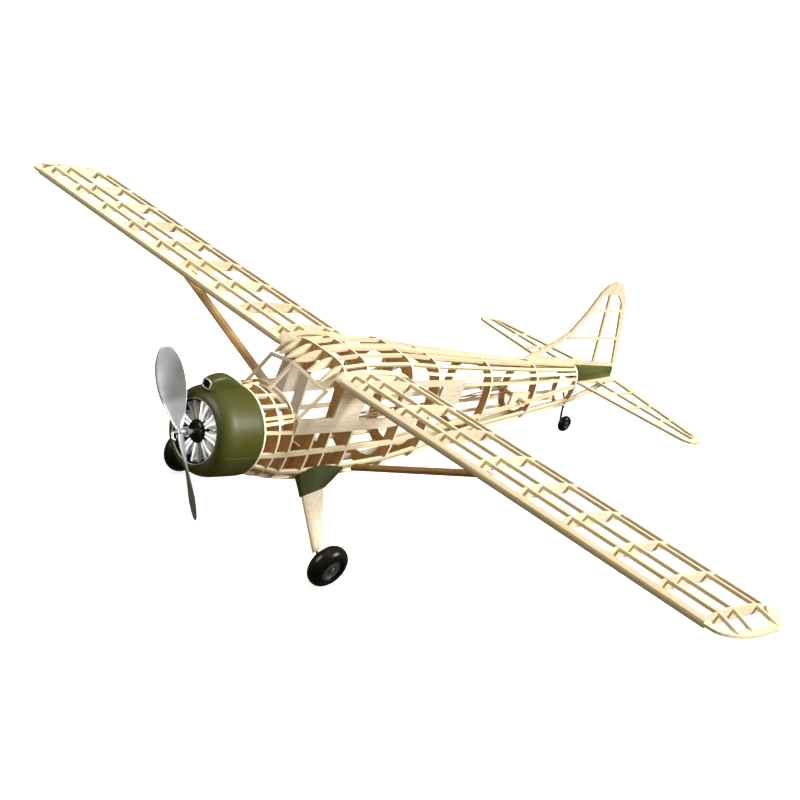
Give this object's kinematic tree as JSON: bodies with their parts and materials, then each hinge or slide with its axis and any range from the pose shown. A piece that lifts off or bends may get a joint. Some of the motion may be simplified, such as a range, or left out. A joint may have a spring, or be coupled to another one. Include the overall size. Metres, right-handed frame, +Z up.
{
  "type": "rubber-powered model aeroplane",
  "caption": "Uncovered balsa frame of a high-wing rubber-powered model aeroplane with a radial cowl, turning propeller and rolling wheels.",
  "frame": {"origin": "on the floor under the middle of the model's box, with the model standing on its three wheels", "axes": "+X port wing, -Y nose, +Z up; the thrust line points up by about ten degrees because the tail sits low"},
  "size_m": [0.61, 0.4068, 0.1165],
  "materials": {
    "balsa": "bare sanded balsa",
    "balsa_strut": "bare sanded balsa",
    "balsa_post": "pale sanded strip",
    "hardwood": "bare dowel",
    "clear_plastic": "clear formed sheet",
    "olive_plastic": "satin olive green",
    "white_plastic": "satin off-white",
    "black_plastic": "satin black",
    "silver_plastic": "silver painted",
    "grey_plastic": "moulded silver grey",
    "brass": "drawn tube",
    "steel_wire": "bright piano wire",
    "rubber_strip": "tan rubber strip",
    "black_tyre": "matt black",
    "hub_plastic": "satin dark grey"
  },
  "bodies": {
    "airframe": {"former_1_firewall": "balsa", "former_2_deck": "balsa", "former_3_dash": "balsa", "former_4_gear_front": "balsa", "former_5_wing_front": "balsa", "former_6_door": "balsa", "former_7_cabin_rear": "balsa", "former_8_aft": "balsa", "former_9_aft": "balsa", "former_10_aft": "balsa", "former_11_tail": "balsa", "keel_bottom": "balsa", "keel_top": "balsa", "side_keels": "balsa", "stringers_port": "balsa", "stringers_starboard": "balsa", "cabin_side_port": "balsa", "cabin_side_starboard": "balsa", "windscreen": "clear_plastic", "windscreen_posts": "balsa_post", "roof_riblets": "balsa", "motor_peg": "hardwood", "peg_plates": "balsa", "cowl": "olive_plastic", "cowl_lip": "white_plastic", "dummy_engine": "silver_plastic", "engine_plate": "black_plastic", "crankcase": "black_plastic", "intake_scoop": "olive_plastic", "nose_bearing": "brass", "nose_block": "balsa", "rubber_motor": "rubber_strip", "gear_fairings": "olive_plastic", "gear_legs": "balsa_strut", "axle_wires": "steel_wire", "wing_spars_port": "balsa", "wing_ribs_port": "balsa", "wing_leading_edge_port": "balsa", "wing_trailing_edge_port": "balsa", "wing_tip_port": "balsa", "wing_strut_port": "balsa_strut", "wing_spars_starboard": "balsa", "wing_ribs_starboard": "balsa", "wing_leading_edge_starboard": "balsa", "wing_trailing_edge_starboard": "balsa", "wing_tip_starboard": "balsa", "wing_strut_starboard": "balsa_strut", "tailplane_edges": "balsa", "tailplane_ribs": "balsa", "fin": "balsa", "tail_block": "olive_plastic", "tail_wheel_wire": "steel_wire"},
    "propeller": {"propeller": "grey_plastic", "prop_shaft": "steel_wire"},
    "wheel_port": {"tyre_port": "black_tyre", "hub_port": "hub_plastic"},
    "wheel_starboard": {"tyre_starboard": "black_tyre", "hub_starboard": "hub_plastic"},
    "tail_wheel": {"tail_tyre": "black_tyre", "tail_hub": "hub_plastic"}
  },
  "joints": [
    {"name": "prop_spin", "type": "hinge", "parent": "airframe", "child": "propeller", "pos_m": [0, -0.18558, 0.07714], "axis": [0, 0.9852, -0.1716], "continuous": true, "deforming": ["rubber_motor"]},
    {"name": "wheel_spin_port", "type": "hinge", "parent": "airframe", "child": "wheel_port", "pos_m": [0.0693, -0.1298, 0.01332], "axis": [0.9903, -0.0239, -0.1371], "continuous": true},
    {"name": "wheel_spin_starboard", "type": "hinge", "parent": "airframe", "child": "wheel_starboard", "pos_m": [-0.0693, -0.1298, 0.01332], "axis": [0.9903, 0.0239, 0.1371], "continuous": true},
    {"name": "tail_wheel_spin", "type": "hinge", "parent": "airframe", "child": "tail_wheel", "pos_m": [0, 0.16287, 0.0059], "axis": [1, 0, 0], "continuous": true}
  ]
}
